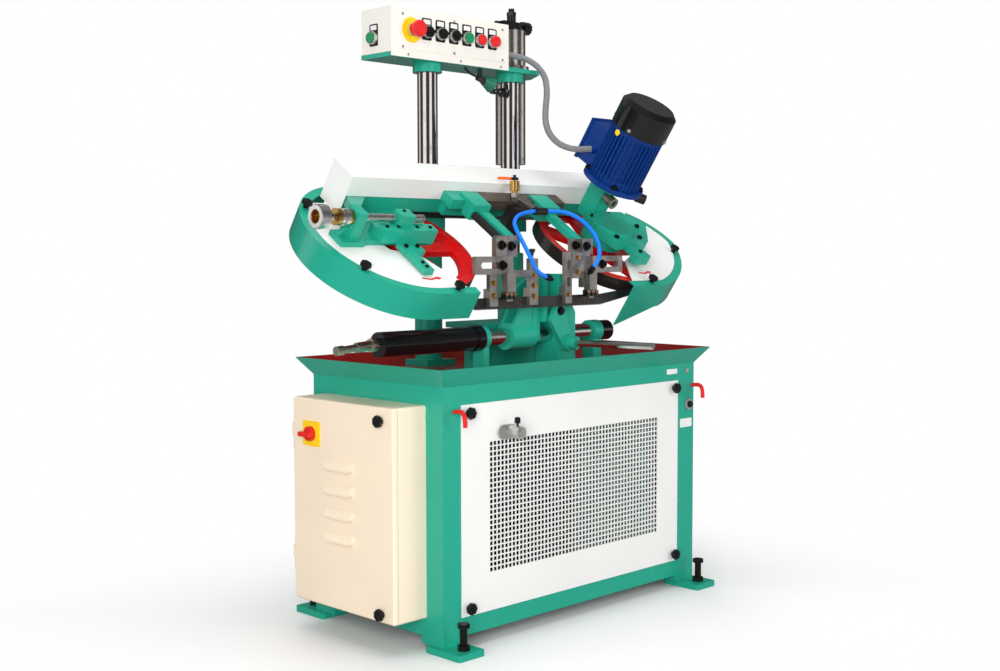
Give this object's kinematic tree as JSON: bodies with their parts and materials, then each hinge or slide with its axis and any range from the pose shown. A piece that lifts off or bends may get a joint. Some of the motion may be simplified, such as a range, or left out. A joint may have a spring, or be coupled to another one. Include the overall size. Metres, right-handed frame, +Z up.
{
  "type": "double column band saw",
  "caption": "Horizontal metal-cutting band saw on two columns: a tilted bow with band wheels, motor and guides lifts over a vise in a tray on a cabinet base.",
  "frame": {"origin": "floor level, at the centre of the four levelling bolts of the base", "axes": "+X to the right along the band, +Y to the rear, +Z up"},
  "size_m": [1.2288, 0.6452, 1.497],
  "materials": {
    "green_paint": "semi-gloss teal green paint",
    "white_paint": "smooth off-white paint",
    "cream_paint": "fine-textured cream paint",
    "red_paint": "gloss red paint",
    "blue_paint": "gloss blue paint",
    "black_paint": "satin black paint",
    "black_plastic": "moulded black plastic",
    "steel": "ground steel",
    "chrome": "hard chrome",
    "brass": "cast and turned brass",
    "blue_hose": "smooth blue hose",
    "black_cord": "black cable sheath",
    "grey_conduit": "ribbed grey conduit",
    "orange_plastic": "dipped orange plastic",
    "red_plastic": "moulded red plastic",
    "green_plastic": "moulded green plastic"
  },
  "bodies": {
    "base": {"base_frame": "green_paint", "levelling_bolts": "steel", "front_panel": "white_paint", "panel_knobs": "black_plastic", "tray": "green_paint", "cabinet": "cream_paint", "hydraulic_unit": "black_paint", "panel_valve": "steel", "column_sockets": "green_paint", "columns": "chrome", "top_plate": "green_paint", "control_box": "cream_paint", "control_bezels": "steel", "lift_cylinder": "steel", "lift_valve": "black_paint", "work_lamp": "black_paint", "lamp_cord": "black_cord", "conduit": "grey_conduit", "vise_brackets": "green_paint", "vise_cylinder": "black_paint", "fixed_jaw": "green_paint"},
    "door": {"cabinet_door": "cream_paint", "door_knobs": "black_plastic"},
    "isolator": {"isolator_handle": "red_plastic"},
    "panel_lever": {"panel_valve_lever": "black_plastic"},
    "lift_flow_knob": {"flow_knob": "black_plastic"},
    "estop": {"estop_button": "red_plastic"},
    "selector_a": {"selector_1": "black_plastic"},
    "selector_b": {"selector_2": "black_plastic"},
    "selector_c": {"selector_3": "black_plastic"},
    "start": {"start_button": "green_plastic"},
    "stop": {"stop_button": "red_plastic"},
    "side_push": {"side_button": "green_plastic"},
    "vise_jaw": {"moving_jaw": "green_paint", "vise_shaft": "chrome"},
    "work_stop": {"stop_rod": "chrome"},
    "bow": {"bow_beam": "green_paint", "hood": "white_paint", "left_guard": "green_paint", "right_guard": "green_paint", "guard_panels": "white_paint", "guard_knobs": "black_plastic", "saw_band": "steel", "gearbox": "green_paint", "motor": "blue_paint", "fan_cover": "black_plastic", "lift_rod": "chrome", "right_guide": "steel", "coolant_manifold": "brass", "coolant_hose_left": "blue_hose", "coolant_hose_right": "blue_hose", "coolant_nozzles": "black_plastic"},
    "drive": {"drive_wheel": "red_paint"},
    "tension_slide": {"slide_block": "green_paint"},
    "idler": {"idler_wheel": "red_paint"},
    "tensioner": {"tension_screw": "chrome"},
    "guide_carrier": {"left_guide": "steel"},
    "left_bearing": {"left_guide_roller": "steel"},
    "right_bearing": {"right_guide_roller": "steel"},
    "coolant_tap": {"coolant_lever": "orange_plastic"}
  },
  "joints": [
    {"name": "bow_lift", "type": "slide", "parent": "base", "child": "bow", "axis": [0, 0, 1], "range_m": [-0.04, 0.15], "deforming": ["conduit"]},
    {"name": "drive_spin", "type": "hinge", "parent": "bow", "child": "drive", "pos_m": [0.29, -0.01665, 0.85879], "axis": [0, -0.5592, 0.829], "continuous": true},
    {"name": "tension_travel", "type": "slide", "parent": "bow", "child": "tension_slide", "axis": [1, 0, 0], "range_m": [0, 0.012]},
    {"name": "idler_spin", "type": "hinge", "parent": "tension_slide", "child": "idler", "pos_m": [-0.368, -0.01665, 0.85879], "axis": [0, -0.5592, 0.829], "continuous": true},
    {"name": "tension_turn", "type": "hinge", "parent": "bow", "child": "tensioner", "pos_m": [-0.628, -0.06251, 0.92676], "axis": [1, 0, 0], "range_deg": [0, 1080]},
    {"name": "guide_slide", "type": "slide", "parent": "bow", "child": "guide_carrier", "axis": [1, 0, 0], "range_m": [-0.03, 0]},
    {"name": "left_bearing_spin", "type": "hinge", "parent": "guide_carrier", "child": "left_bearing", "pos_m": [-0.184, -0.1699, 0.752], "axis": [0, 0, 1], "continuous": true},
    {"name": "right_bearing_spin", "type": "hinge", "parent": "bow", "child": "right_bearing", "pos_m": [0.094, -0.1699, 0.752], "axis": [0, 0, 1], "continuous": true},
    {"name": "coolant_turn", "type": "hinge", "parent": "bow", "child": "coolant_tap", "pos_m": [-0.008, -0.0156, 1.028], "axis": [0, 0, 1], "range_deg": [0, 90]},
    {"name": "jaw_slide", "type": "slide", "parent": "base", "child": "vise_jaw", "axis": [1, 0, 0], "range_m": [-0.03, 0.03]},
    {"name": "stop_slide", "type": "slide", "parent": "base", "child": "work_stop", "axis": [0.225, -0.9744, 0], "range_m": [0, 0.012]},
    {"name": "door_swing", "type": "hinge", "parent": "base", "child": "door", "pos_m": [-0.5145, 0.1845, 0.3], "axis": [0, 0, -1], "range_deg": [0, 110]},
    {"name": "isolator_turn", "type": "hinge", "parent": "door", "child": "isolator", "pos_m": [-0.53, 0.109, 0.451], "axis": [-1, 0, 0], "range_deg": [0, 90]},
    {"name": "panel_lever_turn", "type": "hinge", "parent": "base", "child": "panel_lever", "pos_m": [-0.24, -0.251, 0.47], "axis": [0, 0, 1], "range_deg": [-45, 45]},
    {"name": "flow_turn", "type": "hinge", "parent": "base", "child": "lift_flow_knob", "pos_m": [0.286, 0.246, 1.451], "axis": [1, 0, 0], "range_deg": [-150, 150]},
    {"name": "estop_push", "type": "slide", "parent": "base", "child": "estop", "axis": [0, 1, 0], "range_m": [0, 0.005], "stiffness_N_per_m": 800, "springref_m": -0.002},
    {"name": "selector_a_turn", "type": "hinge", "parent": "base", "child": "selector_a", "pos_m": [-0.152, 0.12, 1.378], "axis": [0, 1, 0], "range_deg": [-45, 45]},
    {"name": "selector_b_turn", "type": "hinge", "parent": "base", "child": "selector_b", "pos_m": [-0.108, 0.12, 1.378], "axis": [0, 1, 0], "range_deg": [-45, 45]},
    {"name": "selector_c_turn", "type": "hinge", "parent": "base", "child": "selector_c", "pos_m": [-0.064, 0.12, 1.378], "axis": [0, 1, 0], "range_deg": [-45, 45]},
    {"name": "start_push", "type": "slide", "parent": "base", "child": "start", "axis": [0, 1, 0], "range_m": [0, 0.004], "stiffness_N_per_m": 800, "springref_m": -0.002},
    {"name": "stop_push", "type": "slide", "parent": "base", "child": "stop", "axis": [0, 1, 0], "range_m": [0, 0.004], "stiffness_N_per_m": 800, "springref_m": -0.002},
    {"name": "side_push_slide", "type": "slide", "parent": "base", "child": "side_push", "axis": [1, 0, 0], "range_m": [0, 0.004], "stiffness_N_per_m": 800, "springref_m": -0.002}
  ],
  "couplings": [
    {"joint": "idler_spin", "follows": "drive_spin", "ratio": 1},
    {"joint": "tension_turn", "follows": "tension_travel", "rad_per_m": 1570.8}
  ]
}
